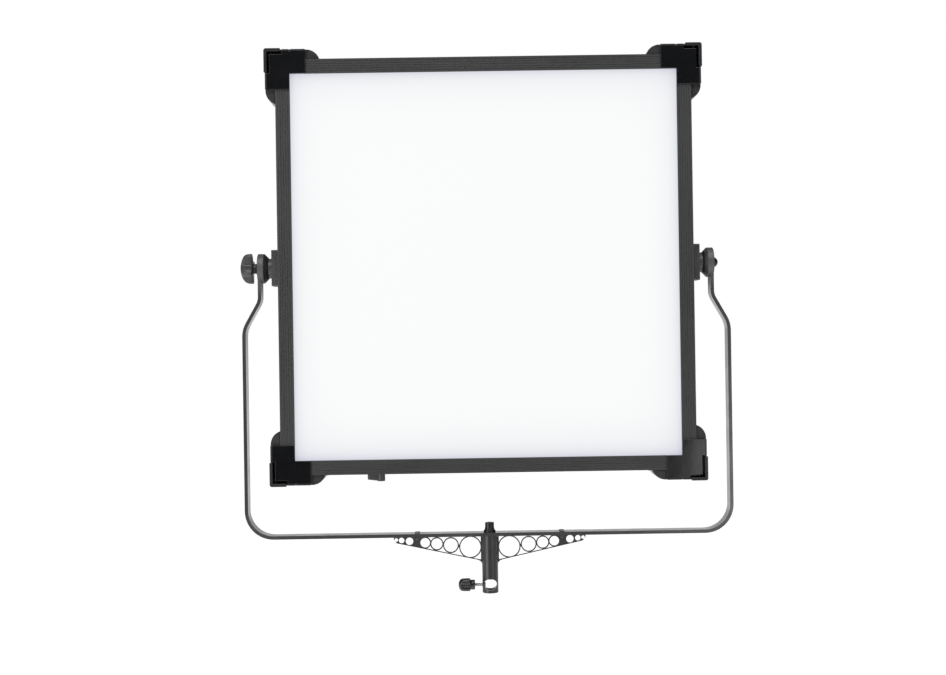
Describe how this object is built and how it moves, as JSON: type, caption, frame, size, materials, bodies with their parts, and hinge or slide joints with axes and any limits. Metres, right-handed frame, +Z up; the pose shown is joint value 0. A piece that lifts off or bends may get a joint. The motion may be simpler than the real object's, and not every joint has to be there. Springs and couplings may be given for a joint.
{
  "type": "led panel light",
  "caption": "Square soft LED panel with grooved aluminium frame, accessory corner slots and a flat-bar yoke that tilts it on a clamped tube socket for a stand's stud.",
  "frame": {"origin": "centre of the spigot tube's mouth, where the stand's stud enters", "axes": "+Z up along the tube, the diffuser faces -Y, +X to the right seen from the front; the tilt axis runs along X"},
  "size_m": [0.8554, 0.1305, 0.952],
  "materials": {
    "rail_metal": "dark grey anodised, fine extrusion grooves",
    "cover_plastic": "glossy black moulded plastic",
    "bracket_metal": "dark grey powder coat",
    "black_screw": "black oxide",
    "gasket_foam": "pale grey foam strip",
    "diffuser_sheet": "opal white, softly glowing",
    "reflector_white": "matt white",
    "circuit_board": "green solder mask",
    "led": "phosphor under clear resin",
    "bare_aluminium": "mill finish",
    "case_metal": "black powder coat",
    "plate_metal": "satin black anodised",
    "display_glass": "dark glossy window",
    "knob_plastic": "black moulded plastic",
    "switch_red": "glossy red plastic",
    "connector_metal": "black nickel",
    "friction_fibre": "black friction fibre",
    "washer_steel": "black oxide",
    "yoke_metal": "dark grey satin powder coat",
    "tube_metal": "dark grey anodised, turned",
    "gusset_steel": "black powder coat",
    "stud_steel": "zinc-plated thread"
  },
  "bodies": {
    "yoke": {"yoke_bar": "yoke_metal", "spigot_tube": "tube_metal", "spigot_collar": "washer_steel", "lock_washer": "washer_steel", "cap_screw": "black_screw", "gusset_left": "gusset_steel", "gusset_right": "gusset_steel", "gusset_screws": "black_screw"},
    "panel": {"rail_top": "rail_metal", "rail_bottom": "rail_metal", "rail_left": "rail_metal", "rail_right": "rail_metal", "corner_cover_top_left": "cover_plastic", "corner_cover_top_right": "cover_plastic", "corner_cover_bottom_left": "cover_plastic", "corner_cover_bottom_right": "cover_plastic", "corner_bracket_top_left": "bracket_metal", "corner_bracket_top_right": "bracket_metal", "corner_bracket_bottom_left": "bracket_metal", "corner_bracket_bottom_right": "bracket_metal", "corner_screws": "black_screw", "pivot_block_screws": "black_screw", "rear_cover_screws": "black_screw", "pivot_bolt": "black_screw", "diffuser_gasket": "gasket_foam", "diffuser": "diffuser_sheet", "reflector_walls": "reflector_white", "led_boards": "circuit_board", "led_emitters": "led", "heat_spreader": "bare_aluminium", "rear_cover": "case_metal", "pivot_block_left": "case_metal", "pivot_block_right": "case_metal", "friction_disc_left": "friction_fibre", "friction_disc_right": "friction_fibre", "control_board": "circuit_board", "driver_board": "circuit_board", "power_supply": "case_metal", "control_housing": "case_metal", "control_plate": "plate_metal", "control_screws": "black_screw", "display_window": "display_glass", "power_switch_frame": "knob_plastic", "power_inlet": "connector_metal", "data_sockets": "connector_metal", "latch_screw": "black_screw"},
    "tilt_washer": {"tilt_washer": "washer_steel"},
    "tilt_knob": {"tilt_knob": "knob_plastic", "tilt_screw": "black_screw"},
    "clamp_pad": {"clamp_pad": "stud_steel"},
    "clamp_knob": {"clamp_knob": "knob_plastic", "clamp_stud": "stud_steel"},
    "dimmer_knob": {"dimmer_knob": "knob_plastic"},
    "colour_knob": {"colour_knob": "knob_plastic"},
    "menu_button": {"menu_button": "knob_plastic"},
    "mode_button": {"mode_button": "knob_plastic"},
    "power_rocker": {"power_rocker": "switch_red"},
    "latch_lever": {"latch_lever": "knob_plastic"}
  },
  "joints": [
    {"name": "panel_tilt", "type": "hinge", "parent": "yoke", "child": "panel", "pos_m": [0, 0, 0.573], "axis": [1, 0, 0], "continuous": true},
    {"name": "tilt_screw_travel", "type": "slide", "parent": "panel", "child": "tilt_washer", "axis": [-1, 0, 0], "range_m": [0, 0.003]},
    {"name": "tilt_knob_turn", "type": "hinge", "parent": "tilt_washer", "child": "tilt_knob", "pos_m": [-0.4, 0, 0.573], "axis": [-1, 0, 0], "range_deg": [0, 720]},
    {"name": "clamp_screw_travel", "type": "slide", "parent": "yoke", "child": "clamp_pad", "axis": [1, 0, 0], "range_m": [0, 0.002]},
    {"name": "clamp_knob_turn", "type": "hinge", "parent": "clamp_pad", "child": "clamp_knob", "pos_m": [-0.03, 0, 0.014], "axis": [1, 0, 0], "range_deg": [0, 720]},
    {"name": "dimmer_turn", "type": "hinge", "parent": "panel", "child": "dimmer_knob", "pos_m": [0.014, 0.08, 0.597], "axis": [0, 1, 0], "continuous": true},
    {"name": "colour_turn", "type": "hinge", "parent": "panel", "child": "colour_knob", "pos_m": [-0.026, 0.08, 0.597], "axis": [0, 1, 0], "continuous": true},
    {"name": "menu_press", "type": "slide", "parent": "panel", "child": "menu_button", "axis": [0, -1, 0], "range_m": [0, 0.001], "stiffness_N_per_m": 400, "springref_m": -0.0005},
    {"name": "mode_press", "type": "slide", "parent": "panel", "child": "mode_button", "axis": [0, -1, 0], "range_m": [0, 0.001], "stiffness_N_per_m": 400, "springref_m": -0.0005},
    {"name": "power_tip", "type": "hinge", "parent": "panel", "child": "power_rocker", "pos_m": [0.038, 0.071, 0.547], "axis": [1, 0, 0], "range_deg": [0, 16]},
    {"name": "latch_turn", "type": "hinge", "parent": "panel", "child": "latch_lever", "pos_m": [-0.187, -0.0265, 0.208], "axis": [0, 0, 1], "range_deg": [0, 90]}
  ],
  "couplings": [
    {"joint": "tilt_knob_turn", "follows": "tilt_screw_travel", "rad_per_m": 4188},
    {"joint": "clamp_knob_turn", "follows": "clamp_screw_travel", "rad_per_m": 6283}
  ]
}
